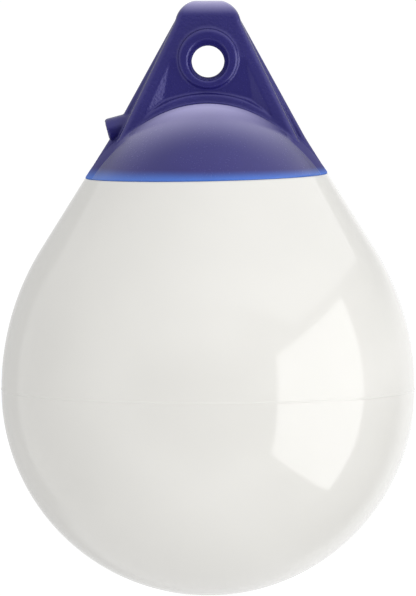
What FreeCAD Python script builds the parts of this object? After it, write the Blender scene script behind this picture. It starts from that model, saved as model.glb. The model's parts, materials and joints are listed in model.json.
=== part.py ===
import FreeCAD, Part
import math
import os
import Sketcher
from FreeCAD import Placement, Rotation, Vector

# Inflatable mooring buoy: a hollow vinyl float under a moulded rope head with a screw air valve.
# The origin is the centre of the rope eye. +Z is up along the buoy, +Y runs along the eye's bore
# and the valve is on the -X side. Lengths are in millimetres and angles in degrees.
SIZES = {
    # Float shell: a hemisphere, a round shoulder and a cone that runs up to the head.
    "float_radius": 101.5,
    "float_wall": 2.6,
    "equator_drop": 160.1,
    "seam_drop": 55.9,
    "seam_radius": 59.6,
    "flank_angle": 32.0,

    # Head skirt: a shallow dome over the top of the float, from the seam up to its crown.
    "skirt_wall": 3.6,
    "skirt_radius": 90.0,
    "crown_angle": 30.0,

    # Web that carries the eye, seen from the front and from the side.
    "head_top": 29.7,
    "corner_radius": 12.1,
    "corner_lift": 0.3,
    "corner_bulge": 0.54,
    "waist_radius": 3.0,
    "rib_half": 25.6,
    "rib_angle": 25.9,
    "face_lean": 6.6,
    "crest_radius": 8.2,
    "rim_round": 2.6,

    # Flange in the middle plane of the web.
    "flange_half": 2.75,
    "flange_start": 16.0,
    "flange_height": 20.3,
    "flange_elbow_half": 47.5,
    "flange_elbow_drop": 37.0,
    "flange_sink": 0.3,
    "flange_round": 1.9,

    # Pocket between the ribs of each face, with a sloping facet along each rib.
    "pocket_sink": 0.24,
    "facet_depth": 4.5,
    "pocket_top": 5.0,
    "pocket_top_half": 17.7,
    "pocket_taper": 9.0,
    "facet_run": 12.0,
    "arch_gap": 2.3,
    "arch_sag": 3.1,
    "facet_sag": 14.7,
    "arch_round": 1.0,

    # Eye: a straight land for the rope, a flared mouth on each face and a raised collar.
    "eye_radius": 8.0,
    "eye_land_half": 9.0,
    "mouth_flare": 2.3,
    "mouth_rise": 1.2,
    "mouth_round": 1.2,
    "collar_radius": 14.7,
    "collar_rise": 1.7,
    "collar_proud": 1.86,
    "collar_round": 1.7,

    # Valve boss, set in from the seam and up from the dome, its counterbore and the air duct.
    "boss_inset": 10.2,
    "boss_rise": 8.64,
    "boss_tilt": 15.0,
    "boss_radius": 5.8,
    "boss_length": 12.0,
    "boss_round": 1.6,
    "recess_radius": 4.3,
    "recess_depth": 3.0,
    "duct_radius": 1.5,
    "duct_offset": 3.2,
    "duct_depth": 14.0,

    # Threaded insert, screw and seal of the valve.
    "insert_radius": 3.7,
    "insert_length": 8.5,
    "insert_flange_radius": 4.4,
    "insert_flange": 1.5,
    "thread_radius": 2.3,
    "thread_clearance": 0.05,
    "screw_head_clearance": 0.4,
    "screw_head_height": 1.9,
    "screw_length": 8.0,
    "screw_point": 0.6,
    "slot_width": 1.2,
    "slot_depth": 1.1,
    "seal_radius": 3.7,
    "seal_clearance": 0.15,
    "seal_height": 0.96,
    "seal_gap": 0.02,
}

FORWARD = Vector(0, 0, 1)

# Places this close in millimetres, or directions this close, count as the same.
NEAR = 0.01

# The middle of the boss's face: how far it is from the buoy's axis, and how far below the eye.
BOSS_REACH = "(Sizes.seam_radius - Sizes.boss_inset)"
BOSS_DROP = (
    "(Sizes.seam_drop + Sizes.skirt_radius * sin(Sizes.flank_angle) - Sizes.boss_rise"
    " - sqrt(Sizes.skirt_radius ^ 2 - (Sizes.skirt_radius * cos(Sizes.flank_angle) - Sizes.boss_inset) ^ 2))")

# Half thickness of the web where its leaning faces pass the eye.
WEB_HALF = (
    "((Sizes.crest_radius + (Sizes.head_top - Sizes.crest_radius) * sin(Sizes.face_lean))"
    " / cos(Sizes.face_lean))")

# How far the arch at the foot of each pocket is below the eye.
ARCH_DROP = "(Sizes.collar_radius - Sizes.collar_rise + Sizes.arch_gap)"

# How deep the stepped bore of the valve goes, along its axis from the boss's face.
BORE_DEPTH = "(Sizes.recess_depth + Sizes.insert_length + Sizes.duct_offset)"

doc = FreeCAD.newDocument("Buoy")


def make_sheet():
    """Write every driving size into the document's spreadsheet."""
    sheet = doc.addObject("Spreadsheet::Sheet", "Sizes")
    for row, (name, value) in enumerate(SIZES.items(), start=1):
        sheet.set(f"A{row}", name)
        sheet.set(f"B{row}", str(value))
        sheet.setAlias(f"B{row}", name)
    doc.recompute()


def sine(angle):
    return math.sin(math.radians(angle))


def cosine(angle):
    return math.cos(math.radians(angle))


def tangent(angle):
    return math.tan(math.radians(angle))


def web_half():
    """Half thickness of the web where its leaning faces pass the eye."""
    lean = SIZES["face_lean"]
    crest = SIZES["crest_radius"]
    return (crest + (SIZES["head_top"] - crest) * sine(lean)) / cosine(lean)


def new_body(name):
    body = doc.addObject("PartDesign::Body", name)
    body.Label = name
    return body


def origin_plane(body, role):
    return next(part for part in body.Origin.OriginFeatures if part.Role == role)


class Drawing:
    """A sketch on an origin plane of its body, drawn in place and bound to the sheet."""

    def __init__(self, body, name, role, offset=None):
        self.sketch = body.newObject("Sketcher::SketchObject", name)
        self.sketch.AttachmentSupport = [(origin_plane(body, role), "")]
        self.sketch.MapMode = "FlatFace"
        for path, formula in (offset or {}).items():
            self.sketch.setExpression("AttachmentOffset." + path, formula)

    def line(self, start, end):
        return self.sketch.addGeometry(Part.LineSegment(Vector(*start, 0), Vector(*end, 0)), False)

    def arc(self, centre, radius, first, last):
        circle = Part.Circle(Vector(*centre, 0), FORWARD, radius)
        piece = Part.ArcOfCircle(circle, math.radians(first), math.radians(last))
        return self.sketch.addGeometry(piece, False)

    def circle(self, centre, radius):
        return self.sketch.addGeometry(Part.Circle(Vector(*centre, 0), FORWARD, radius), False)

    def hold(self, kind, *refs):
        return self.sketch.addConstraint(Sketcher.Constraint(kind, *refs))

    def size(self, kind, value, refs, formula):
        index = self.hold(kind, *refs, value)
        self.sketch.setExpression(f"Constraints[{index}]", formula)

    def place(self, shape, point, across=None, up=None):
        """Bind a point's coordinates to formulas; None leaves that coordinate free."""
        spot = self.sketch.getPoint(shape, point)
        if across is not None:
            self.size("DistanceX", spot.x, (-1, 1, shape, point), across)
        if up is not None:
            self.size("DistanceY", spot.y, (-1, 1, shape, point), up)

    def radius(self, shape, formula):
        self.size("Radius", self.sketch.Geometry[shape].Radius, (shape,), formula)

    def polygon(self, corners):
        """Draw a closed polygon from (x, y, x formula, y formula) corners."""
        lines = []
        for here, there in zip(corners, corners[1:] + corners[:1]):
            lines.append(self.line(here[:2], there[:2]))
        for shape, following in zip(lines, lines[1:] + lines[:1]):
            self.hold("Coincident", shape, 2, following, 1)
        for shape, corner in zip(lines, corners):
            self.place(shape, 1, corner[2], corner[3])
        return lines


def feature(body, kind, name, sketch, **settings):
    """Add a sketch-based feature; text values are formulas bound to the sheet."""
    made = body.newObject("PartDesign::" + kind, name)
    made.Profile = sketch
    for key, value in settings.items():
        if isinstance(value, str) and key not in ("Type", "SideType"):
            made.setExpression(key, value)
        else:
            setattr(made, key, value)
    body.Tip = made
    doc.recompute()
    return made


def turned(body, kind, name, drawing, axis="V_Axis"):
    return feature(body, kind, name, drawing.sketch, ReferenceAxis=(drawing.sketch, [axis]), Angle=360.0)


def mirrored(body, name, original, role):
    made = body.newObject("PartDesign::Mirrored", name)
    made.Originals = [original]
    made.MirrorPlane = (origin_plane(body, role), [""])
    body.Tip = made
    doc.recompute()
    return made


def rounded(body, name, edges, formula):
    """Round the named edges of the body's tip."""
    base = body.Tip
    made = body.newObject("PartDesign::Fillet", name)
    made.Base = (base, edges)
    made.setExpression("Radius", formula)
    body.Tip = made
    doc.recompute()
    return made


def edges_of(shape, test):
    """Names of the shape's edges for which the test is true."""
    return [f"Edge{number}" for number, edge in enumerate(shape.Edges, start=1) if test(edge)]


def is_side_wall(face):
    """True for an upright or leaning wall that was drawn in the front view, so that it runs along Y."""
    surface = face.Surface
    if isinstance(surface, Part.Cylinder):
        return abs(surface.Axis.y) > 1 - NEAR
    return isinstance(surface, Part.Plane) and abs(surface.Axis.y) < NEAR < abs(surface.Axis.x)


def is_side_rim(shape, edge):
    """True for an edge between a side wall and a face of another kind."""
    return sum(is_side_wall(face) for face in shape.ancestorsOfType(edge, Part.Face)) == 1


def is_collar_rim(edge):
    """True for an edge that lies in the flat end of the collar."""
    box = edge.BoundBox
    half = web_half() + SIZES["collar_proud"]
    return abs(abs(box.YMin) - half) < NEAR and box.YLength < NEAR


def skirt_arcs(drawing, inset, inset_formula, foot, foot_formula):
    """Draw the head's dome, moved inwards by inset, from its foot to the axis.

    The lower arc leaves the seam in line with the float's cone. The crown closes on the axis.
    Returns the lower arc and the crown.
    """
    lean = SIZES["flank_angle"]
    turn = 90 - SIZES["crown_angle"]
    across = SIZES["seam_radius"] - SIZES["skirt_radius"] * cosine(lean)
    up = -SIZES["seam_drop"] - SIZES["skirt_radius"] * sine(lean)
    radius = SIZES["skirt_radius"] - inset
    crown_centre = up - across * tangent(turn)
    crown_radius = radius + across / cosine(turn)
    foot_angle = math.degrees(math.asin((foot - up) / radius))

    lower = drawing.arc((across, up), radius, foot_angle, turn)
    crown = drawing.arc((0, crown_centre), crown_radius, turn, 90)
    drawing.place(
        lower, 3,
        "Sizes.seam_radius - Sizes.skirt_radius * cos(Sizes.flank_angle)",
        "-Sizes.seam_drop - Sizes.skirt_radius * sin(Sizes.flank_angle)",
    )
    drawing.radius(lower, "Sizes.skirt_radius" + inset_formula)
    drawing.place(lower, 1, None, foot_formula)
    drawing.hold("Tangent", lower, 2, crown, 1)
    drawing.hold("PointOnObject", crown, 3, -2)
    drawing.hold("PointOnObject", crown, 2, -2)
    drawing.place(
        crown, 1,
        "Sizes.seam_radius - Sizes.skirt_radius * cos(Sizes.flank_angle)"
        " + (Sizes.skirt_radius" + inset_formula + ") * sin(Sizes.crown_angle)",
        None,
    )
    return lower, crown


def float_section(drawing, wall, wall_formula):
    """Draw the float's half section, moved inwards by a wall.

    From the seam it runs down the cone, round the shoulder and the bottom to the axis, then up
    to the dome under the head. The dome lies one skirt below the head's own surface.
    """
    lean = SIZES["flank_angle"]
    widest = SIZES["float_radius"] - wall
    equator = -SIZES["equator_drop"]
    seam = -SIZES["seam_drop"] - wall
    edge = SIZES["seam_radius"] + wall * tangent(lean) - wall / cosine(lean)
    shoulder = ((edge - widest) * cosine(lean) + (seam - equator) * sine(lean)) / (1 - cosine(lean))
    centre = widest - shoulder
    low = (centre + shoulder * cosine(lean), equator + shoulder * sine(lean))

    cone = drawing.line(low, (edge, seam))
    side = drawing.arc((centre, equator), shoulder, 0, lean)
    bottom = drawing.arc((0, equator), widest, -90, 0)
    seam_formula = "-Sizes.seam_drop" + wall_formula
    lower, crown = skirt_arcs(
        drawing, SIZES["skirt_wall"] + wall, " - Sizes.skirt_wall" + wall_formula, seam, seam_formula)
    apex = drawing.sketch.getPoint(crown, 2)
    foot = drawing.sketch.getPoint(lower, 1)
    step = drawing.line((edge, seam), (foot.x, foot.y))
    axis = drawing.line((apex.x, apex.y), (0, equator - widest))

    drawing.hold("Tangent", cone, 1, side, 2)
    drawing.hold("Tangent", side, 1, bottom, 2)
    drawing.hold("Coincident", cone, 2, step, 1)
    drawing.hold("Coincident", step, 2, lower, 1)
    drawing.hold("Coincident", crown, 2, axis, 1)
    drawing.hold("Coincident", axis, 2, bottom, 1)
    drawing.hold("PointOnObject", bottom, 1, -2)
    drawing.place(
        cone, 2, "Sizes.seam_radius" + (
            " + Sizes.float_wall * (sin(Sizes.flank_angle) - 1) / cos(Sizes.flank_angle)" if wall else ""),
        seam_formula)
    drawing.size("Angle", math.radians(90 + lean), (cone,), "90 + Sizes.flank_angle")
    drawing.place(bottom, 3, "0", "-Sizes.equator_drop")
    drawing.radius(bottom, "Sizes.float_radius" + wall_formula)
    drawing.place(side, 1, None, "-Sizes.equator_drop")


def duct_drawing(body, name):
    """Draw the air duct's round section, level with the end of the valve's bore."""
    drawing = Drawing(body, name, "XY_Plane", {
        "Base.z": f"{BORE_DEPTH} * sin(Sizes.boss_tilt) - {BOSS_DROP}",
    })
    depth = SIZES["recess_depth"] + SIZES["insert_length"] + SIZES["duct_offset"]
    across = depth * cosine(SIZES["boss_tilt"]) + SIZES["boss_inset"] - SIZES["seam_radius"]
    ring = drawing.circle((across, 0), SIZES["duct_radius"])
    drawing.place(ring, 3, f"{BORE_DEPTH} * cos(Sizes.boss_tilt) - {BOSS_REACH}", "0")
    drawing.radius(ring, "Sizes.duct_radius")
    return drawing


def make_float():
    """The hollow float, closed at its top by a dome that the head is moulded on."""
    body = new_body("float_body")
    outside = Drawing(body, "FloatOutside", "XZ_Plane")
    float_section(outside, 0, "")
    turned(body, "Revolution", "FloatShape", outside)
    inside = Drawing(body, "FloatInside", "XZ_Plane")
    float_section(inside, SIZES["float_wall"], " - Sizes.float_wall")
    turned(body, "Groove", "FloatCavity", inside)
    duct = duct_drawing(body, "FloatDuctCircle")
    feature(body, "Pocket", "FloatDuct", duct.sketch, Length="Sizes.duct_depth")
    return body


def make_flange(body):
    """The thin flange in the web's middle plane, which runs down to the seam on both sides."""
    slope = (
        "((Sizes.flange_elbow_half - Sizes.flange_start) / (Sizes.flange_elbow_drop + Sizes.flange_height))")
    rise = SIZES["head_top"] - SIZES["crest_radius"] + SIZES["waist_radius"]
    run = SIZES["flange_elbow_half"] - SIZES["flange_start"]
    top = SIZES["flange_start"] - (rise - SIZES["flange_height"]) * run / (
        SIZES["flange_elbow_drop"] + SIZES["flange_height"])
    rise_formula = "Sizes.head_top - Sizes.crest_radius + Sizes.waist_radius"
    outline = Drawing(body, "FlangeOutline", "XZ_Plane")
    outline.polygon([
        (0, rise, "0", rise_formula),
        (0, -SIZES["seam_drop"], "0", "-Sizes.seam_drop"),
        (SIZES["seam_radius"] - SIZES["flange_sink"], -SIZES["seam_drop"],
         "Sizes.seam_radius - Sizes.flange_sink", "-Sizes.seam_drop"),
        (SIZES["flange_elbow_half"], -SIZES["flange_elbow_drop"],
         "Sizes.flange_elbow_half", "-Sizes.flange_elbow_drop"),
        (top, rise,
         f"Sizes.flange_start - ({rise_formula} - Sizes.flange_height) * {slope}", rise_formula),
    ])
    half = feature(body, "Pad", "FlangeHalf", outline.sketch,
                   SideType="Symmetric", Length="2 * Sizes.flange_half")
    mirrored(body, "Flange", half, "YZ_Plane")
    shape = body.Tip.Shape
    rims = edges_of(shape, lambda edge: is_side_rim(shape, edge))
    rounded(body, "FlangeRound", rims, "Sizes.flange_round")


def make_web(body):
    """The thick web with its two ribs: the front outline, trimmed to the leaning faces."""
    rib = SIZES["rib_angle"]
    radius = SIZES["corner_radius"]
    waist = SIZES["waist_radius"]
    inside = radius - SIZES["corner_bulge"]
    rise = SIZES["head_top"] + SIZES["corner_lift"] - radius
    centre = (SIZES["rib_half"] - rise * tangent(rib) - inside / cosine(rib), rise)
    off_line = waist + inside
    along_line = math.sqrt((radius + waist) ** 2 - off_line ** 2)
    waist_centre = (
        centre[0] + off_line * cosine(rib) + along_line * sine(rib),
        centre[1] + off_line * sine(rib) - along_line * cosine(rib),
    )
    meet = math.degrees(math.atan2(waist_centre[1] - centre[1], waist_centre[0] - centre[0]))
    foot_half = SIZES["rib_half"] + SIZES["seam_drop"] * tangent(rib)

    outline = Drawing(body, "WebOutline", "XZ_Plane")
    corner = outline.arc(centre, radius, meet, 90)
    hollow = outline.arc(waist_centre, waist, 180 + meet, 180 + rib)
    hollow_end = outline.sketch.getPoint(hollow, 2)
    corner_end = outline.sketch.getPoint(corner, 2)
    wall = outline.line((foot_half, -SIZES["seam_drop"]), (hollow_end.x, hollow_end.y))
    top = outline.line((corner_end.x, corner_end.y), (0, corner_end.y))
    axis = outline.line((0, corner_end.y), (0, -SIZES["seam_drop"]))
    foot = outline.line((0, -SIZES["seam_drop"]), (foot_half, -SIZES["seam_drop"]))
    outline.hold("Tangent", hollow, 1, corner, 1)
    outline.hold("Tangent", wall, 2, hollow, 2)
    outline.hold("Tangent", corner, 2, top, 1)
    outline.hold("Coincident", top, 2, axis, 1)
    outline.hold("Coincident", axis, 2, foot, 1)
    outline.hold("Coincident", foot, 2, wall, 1)
    outline.hold("Horizontal", top)
    rise_formula = "(Sizes.head_top + Sizes.corner_lift - Sizes.corner_radius)"
    outline.place(
        corner, 3,
        f"Sizes.rib_half - {rise_formula} * tan(Sizes.rib_angle)"
        " - (Sizes.corner_radius - Sizes.corner_bulge) / cos(Sizes.rib_angle)",
        rise_formula)
    outline.radius(corner, "Sizes.corner_radius")
    outline.radius(hollow, "Sizes.waist_radius")
    outline.place(wall, 1, "Sizes.rib_half + Sizes.seam_drop * tan(Sizes.rib_angle)", "-Sizes.seam_drop")
    outline.size("Angle", math.radians(90 + rib), (wall,), "90 + Sizes.rib_angle")
    outline.place(axis, 1, "0", None)
    outline.place(axis, 2, "0", "-Sizes.seam_drop")

    stock = SIZES["crest_radius"] + (SIZES["head_top"] + SIZES["seam_drop"]) * tangent(SIZES["face_lean"])
    stock_formula = "(Sizes.crest_radius + (Sizes.head_top + Sizes.seam_drop) * tan(Sizes.face_lean))"
    half = feature(body, "Pad", "WebHalf", outline.sketch,
                   SideType="Symmetric", Length="2 * " + stock_formula)
    mirrored(body, "Web", half, "YZ_Plane")

    # Everything outside the leaning face and the round crest comes off, first on one side.
    lean = SIZES["face_lean"]
    crest = SIZES["crest_radius"]
    crest_height = SIZES["head_top"] - crest
    face_foot = (crest + (crest_height + SIZES["seam_drop"]) * sine(lean)) / cosine(lean)
    outer = stock + waist
    upper = SIZES["head_top"] + waist
    touch = (crest * cosine(lean), crest_height + crest * sine(lean))
    trim = Drawing(body, "FaceTrim", "YZ_Plane")
    crown = trim.arc((0, crest_height), crest, lean, 90)
    face = trim.line((face_foot, -SIZES["seam_drop"]), touch)
    base = trim.line((face_foot, -SIZES["seam_drop"]), (outer, -SIZES["seam_drop"]))
    side = trim.line((outer, -SIZES["seam_drop"]), (outer, upper))
    lid = trim.line((outer, upper), (0, upper))
    drop = trim.line((0, upper), (0, SIZES["head_top"]))
    trim.hold("Tangent", face, 2, crown, 1)
    trim.hold("Coincident", face, 1, base, 1)
    trim.hold("Coincident", base, 2, side, 1)
    trim.hold("Coincident", side, 2, lid, 1)
    trim.hold("Coincident", lid, 2, drop, 1)
    trim.hold("Coincident", drop, 2, crown, 2)
    trim.place(crown, 3, "0", "Sizes.head_top - Sizes.crest_radius")
    trim.radius(crown, "Sizes.crest_radius")
    trim.hold("PointOnObject", crown, 2, -2)
    trim.place(
        face, 1,
        "(Sizes.crest_radius + (Sizes.head_top - Sizes.crest_radius + Sizes.seam_drop)"
        " * sin(Sizes.face_lean)) / cos(Sizes.face_lean)",
        "-Sizes.seam_drop")
    trim.place(side, 1, stock_formula + " + Sizes.waist_radius", "-Sizes.seam_drop")
    trim.place(lid, 1, stock_formula + " + Sizes.waist_radius", "Sizes.head_top + Sizes.waist_radius")
    trim.place(drop, 1, "0", "Sizes.head_top + Sizes.waist_radius")
    cut = feature(body, "Pocket", "FaceCut", trim.sketch, SideType="Symmetric", Type="ThroughAll")
    mirrored(body, "Faces", cut, "XZ_Plane")
    shape = body.Tip.Shape

    def is_rib_rim(edge):
        box = edge.BoundBox
        stands_out = max(-box.YMin, box.YMax) > SIZES["flange_half"] + NEAR
        is_foot = box.ZMax < NEAR - SIZES["seam_drop"]
        return is_side_rim(shape, edge) and stands_out and not is_foot

    rounded(body, "RibRound", edges_of(shape, is_rib_rim), "Sizes.rim_round")


def pocket_outline(body, name, depth, across, sag):
    """Draw one section of a rib pocket: a flat top, two straight sides and an arched foot.

    The sag is how far the ends of the arch are below its middle.
    """
    outline = Drawing(body, name, "XZ_Plane", {"Base.z": depth})
    top_value, top_formula = across
    sag_value, sag_formula = sag
    taper = tangent(SIZES["pocket_taper"])
    top_height = SIZES["pocket_top"]
    arch_drop = SIZES["collar_radius"] - SIZES["collar_rise"] + SIZES["arch_gap"]
    drop = arch_drop + sag_value
    drop_formula = f"({ARCH_DROP} + {sag_formula})"
    low_half = top_value + (top_height + drop) * taper
    low_formula = f"{top_formula} + (Sizes.pocket_top + {drop_formula}) * tan(Sizes.pocket_taper)"
    radius = (low_half ** 2 + sag_value ** 2) / (2 * sag_value)
    span = math.degrees(math.asin(low_half / radius))
    top = outline.line((-top_value, top_height), (top_value, top_height))
    right = outline.line((top_value, top_height), (low_half, -drop))
    arch = outline.arc((0, -arch_drop - radius), radius, 90 - span, 90 + span)
    left = outline.line((-low_half, -drop), (-top_value, top_height))
    outline.hold("Coincident", top, 2, right, 1)
    outline.hold("Coincident", right, 2, arch, 1)
    outline.hold("Coincident", arch, 2, left, 1)
    outline.hold("Coincident", left, 2, top, 1)
    outline.place(top, 1, f"-({top_formula})", "Sizes.pocket_top")
    outline.place(top, 2, top_formula, "Sizes.pocket_top")
    outline.place(arch, 1, low_formula, f"-{drop_formula}")
    outline.place(arch, 2, f"-({low_formula})", None)
    outline.hold("PointOnObject", arch, 3, -2)
    outline.radius(arch, f"(({low_formula}) ^ 2 + {sag_formula} ^ 2) / (2 * {sag_formula})")
    return outline


def make_pockets(body):
    """A pocket in each face, from its upright floor out along the sloping facets."""
    half = SIZES["pocket_top_half"]
    floor = pocket_outline(
        body, "PocketFloor", f"{WEB_HALF} - Sizes.pocket_sink",
        (half, "Sizes.pocket_top_half"), (SIZES["arch_sag"], "Sizes.arch_sag"))
    mouth = pocket_outline(
        body, "PocketMouth", f"{WEB_HALF} - Sizes.pocket_sink + Sizes.facet_depth",
        (half + SIZES["facet_run"], "(Sizes.pocket_top_half + Sizes.facet_run)"),
        (SIZES["facet_sag"], "Sizes.facet_sag"))
    cut = feature(body, "SubtractiveLoft", "RibPocket", floor.sketch,
                  Sections=[mouth.sketch], Ruled=True)
    mirrored(body, "RibPockets", cut, "XZ_Plane")

    def is_arch_rim(edge):
        box = edge.BoundBox
        spans = box.XMin < 0 < box.XMax
        leans = box.YLength > NEAR
        outside = min(abs(box.YMin), abs(box.YMax)) > web_half()
        return spans and leans and outside

    rounded(body, "ArchRound", edges_of(body.Tip.Shape, is_arch_rim), "Sizes.arch_round")


def make_collar(body):
    """The raised collar round the eye, set a little above the eye's centre."""
    ring = Drawing(body, "CollarCircle", "XZ_Plane")
    circle = ring.circle((0, SIZES["collar_rise"]), SIZES["collar_radius"])
    ring.place(circle, 3, "0", "Sizes.collar_rise")
    ring.radius(circle, "Sizes.collar_radius")
    feature(body, "Pad", "Collar", ring.sketch,
            SideType="Symmetric", Length=f"2 * ({WEB_HALF} + Sizes.collar_proud)")
    rounded(body, "CollarRound", edges_of(body.Tip.Shape, is_collar_rim), "Sizes.collar_round")


def make_skirt(body):
    """The dome under the web, solid down to the level of the seam."""
    section = Drawing(body, "SkirtOutside", "XZ_Plane")
    lower, crown = skirt_arcs(section, 0, "", -SIZES["seam_drop"], "-Sizes.seam_drop")
    close_skirt(section, lower, crown)
    turned(body, "Revolution", "Skirt", section)


def close_skirt(drawing, lower, crown):
    """Close a dome section down the axis and along the level of the seam."""
    apex = drawing.sketch.getPoint(crown, 2)
    foot = drawing.sketch.getPoint(lower, 1)
    axis = drawing.line((apex.x, apex.y), (0, foot.y))
    base = drawing.line((0, foot.y), (foot.x, foot.y))
    drawing.hold("Coincident", crown, 2, axis, 1)
    drawing.hold("Coincident", axis, 2, base, 1)
    drawing.hold("Coincident", base, 2, lower, 1)
    drawing.hold("Vertical", axis)
    drawing.hold("Horizontal", base)


def valve_drawing(body, name):
    """A sketch whose X axis runs from the boss face inwards along the valve."""
    return Drawing(body, name, "XZ_Plane", {
        "Base.x": "-" + BOSS_REACH,
        "Base.y": "-" + BOSS_DROP,
        "Rotation.Angle": "Sizes.boss_tilt",
    })


def make_boss(body):
    """The round valve boss, which runs into the web above the seam."""
    section = valve_drawing(body, "BossSection")
    length = SIZES["boss_length"]
    radius = SIZES["boss_radius"]
    round_off = SIZES["boss_round"]
    face = section.line((0, 0), (0, radius - round_off))
    edge = section.arc((round_off, radius - round_off), round_off, 90, 180)
    side = section.line((round_off, radius), (length, radius))
    back = section.line((length, radius), (length, 0))
    axis = section.line((length, 0), (0, 0))
    section.hold("Tangent", face, 2, edge, 2)
    section.hold("Tangent", edge, 1, side, 1)
    section.hold("Coincident", side, 2, back, 1)
    section.hold("Coincident", back, 2, axis, 1)
    section.hold("Coincident", axis, 2, face, 1)
    section.place(face, 1, "0", "0")
    section.hold("Vertical", face)
    section.radius(edge, "Sizes.boss_round")
    section.place(back, 1, "Sizes.boss_length", "Sizes.boss_radius")
    section.hold("Horizontal", side)
    section.hold("Vertical", back)
    section.hold("Horizontal", axis)
    turned(body, "Revolution", "Boss", section, "H_Axis")


def make_bore(body):
    """The stepped bore of the valve: recess, seat of the insert and the duct behind it."""
    section = valve_drawing(body, "BoreSection")
    recess = SIZES["recess_depth"]
    end = recess + SIZES["insert_length"]
    shelf = end - SIZES["insert_flange"]
    last = end + SIZES["duct_offset"]
    end_formula = "Sizes.recess_depth + Sizes.insert_length"
    section.polygon([
        (0, 0, "0", "0"),
        (0, SIZES["recess_radius"], "0", "Sizes.recess_radius"),
        (recess, SIZES["recess_radius"], "Sizes.recess_depth", "Sizes.recess_radius"),
        (recess, SIZES["insert_radius"], "Sizes.recess_depth", "Sizes.insert_radius"),
        (shelf, SIZES["insert_radius"], end_formula + " - Sizes.insert_flange", "Sizes.insert_radius"),
        (shelf, SIZES["insert_flange_radius"],
         end_formula + " - Sizes.insert_flange", "Sizes.insert_flange_radius"),
        (end, SIZES["insert_flange_radius"], end_formula, "Sizes.insert_flange_radius"),
        (end, SIZES["duct_radius"], end_formula, "Sizes.duct_radius"),
        (last, SIZES["duct_radius"], BORE_DEPTH, "Sizes.duct_radius"),
        (last, 0, BORE_DEPTH, "0"),
    ])
    turned(body, "Groove", "ValveBore", section, "H_Axis")


def make_eye(body):
    """The bore for the rope, its flared mouths and the round edge of each mouth."""
    circle = Drawing(body, "EyeCircle", "XZ_Plane")
    hole = circle.circle((0, 0), SIZES["eye_radius"])
    circle.place(hole, 3, "0", "0")
    circle.radius(hole, "Sizes.eye_radius")
    feature(body, "Pocket", "Eye", circle.sketch, SideType="Symmetric", Type="ThroughAll")

    inner = Drawing(body, "MouthInner", "XZ_Plane", {"Base.z": "Sizes.eye_land_half"})
    throat = inner.circle((0, 0), SIZES["eye_radius"])
    inner.place(throat, 3, "0", "0")
    inner.radius(throat, "Sizes.eye_radius")
    outer = Drawing(body, "MouthOuter", "XZ_Plane", {"Base.z": f"{WEB_HALF} + Sizes.collar_proud"})
    rim_radius = SIZES["eye_radius"] + SIZES["mouth_flare"]
    rim = outer.circle((0, SIZES["mouth_rise"]), rim_radius)
    outer.place(rim, 3, "0", "Sizes.mouth_rise")
    outer.radius(rim, "Sizes.eye_radius + Sizes.mouth_flare")
    mouth = feature(body, "SubtractiveLoft", "Mouth", inner.sketch, Sections=[outer.sketch], Ruled=True)
    mirrored(body, "Mouths", mouth, "XZ_Plane")

    def is_mouth_rim(edge):
        return is_collar_rim(edge) and edge.BoundBox.XLength < 2 * rim_radius + NEAR

    rounded(body, "MouthRound", edges_of(body.Tip.Shape, is_mouth_rim), "Sizes.mouth_round")


def make_head():
    """The rope head: one moulding of flange, ribbed web, collar, dome skirt and valve boss."""
    body = new_body("rope_head")
    make_flange(body)
    make_web(body)
    make_pockets(body)
    make_collar(body)
    make_skirt(body)
    make_boss(body)
    under = Drawing(body, "SkirtInside", "XZ_Plane")
    lower, crown = skirt_arcs(
        under, SIZES["skirt_wall"], " - Sizes.skirt_wall", -SIZES["seam_drop"], "-Sizes.seam_drop")
    close_skirt(under, lower, crown)
    turned(body, "Groove", "SkirtHollow", under)
    make_bore(body)
    duct = duct_drawing(body, "HeadDuctCircle")
    feature(body, "Pocket", "HeadDuct", duct.sketch, Length="Sizes.duct_depth")
    make_eye(body)
    return body


def valve_body(name):
    """A body whose own X axis runs from the boss face inwards along the valve."""
    body = new_body(name)
    body.Placement = Placement(Vector(), Rotation(Vector(0, -1, 0), 1))
    body.setExpression("Placement.Base.x", "-" + BOSS_REACH)
    body.setExpression("Placement.Base.z", "-" + BOSS_DROP)
    body.setExpression("Placement.Rotation.Angle", "Sizes.boss_tilt")
    return body


def make_insert():
    """The threaded insert, moulded into the boss and held there by its flange."""
    body = valve_body("valve_insert")
    start = SIZES["recess_depth"]
    end = start + SIZES["insert_length"]
    shelf = end - SIZES["insert_flange"]
    end_formula = "Sizes.recess_depth + Sizes.insert_length"
    section = Drawing(body, "InsertSection", "XZ_Plane")
    section.polygon([
        (start, SIZES["thread_radius"], "Sizes.recess_depth", "Sizes.thread_radius"),
        (start, SIZES["insert_radius"], "Sizes.recess_depth", "Sizes.insert_radius"),
        (shelf, SIZES["insert_radius"], end_formula + " - Sizes.insert_flange", "Sizes.insert_radius"),
        (shelf, SIZES["insert_flange_radius"],
         end_formula + " - Sizes.insert_flange", "Sizes.insert_flange_radius"),
        (end, SIZES["insert_flange_radius"], end_formula, "Sizes.insert_flange_radius"),
        (end, SIZES["thread_radius"], end_formula, "Sizes.thread_radius"),
    ])
    turned(body, "Revolution", "InsertShape", section, "H_Axis")
    return body


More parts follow.
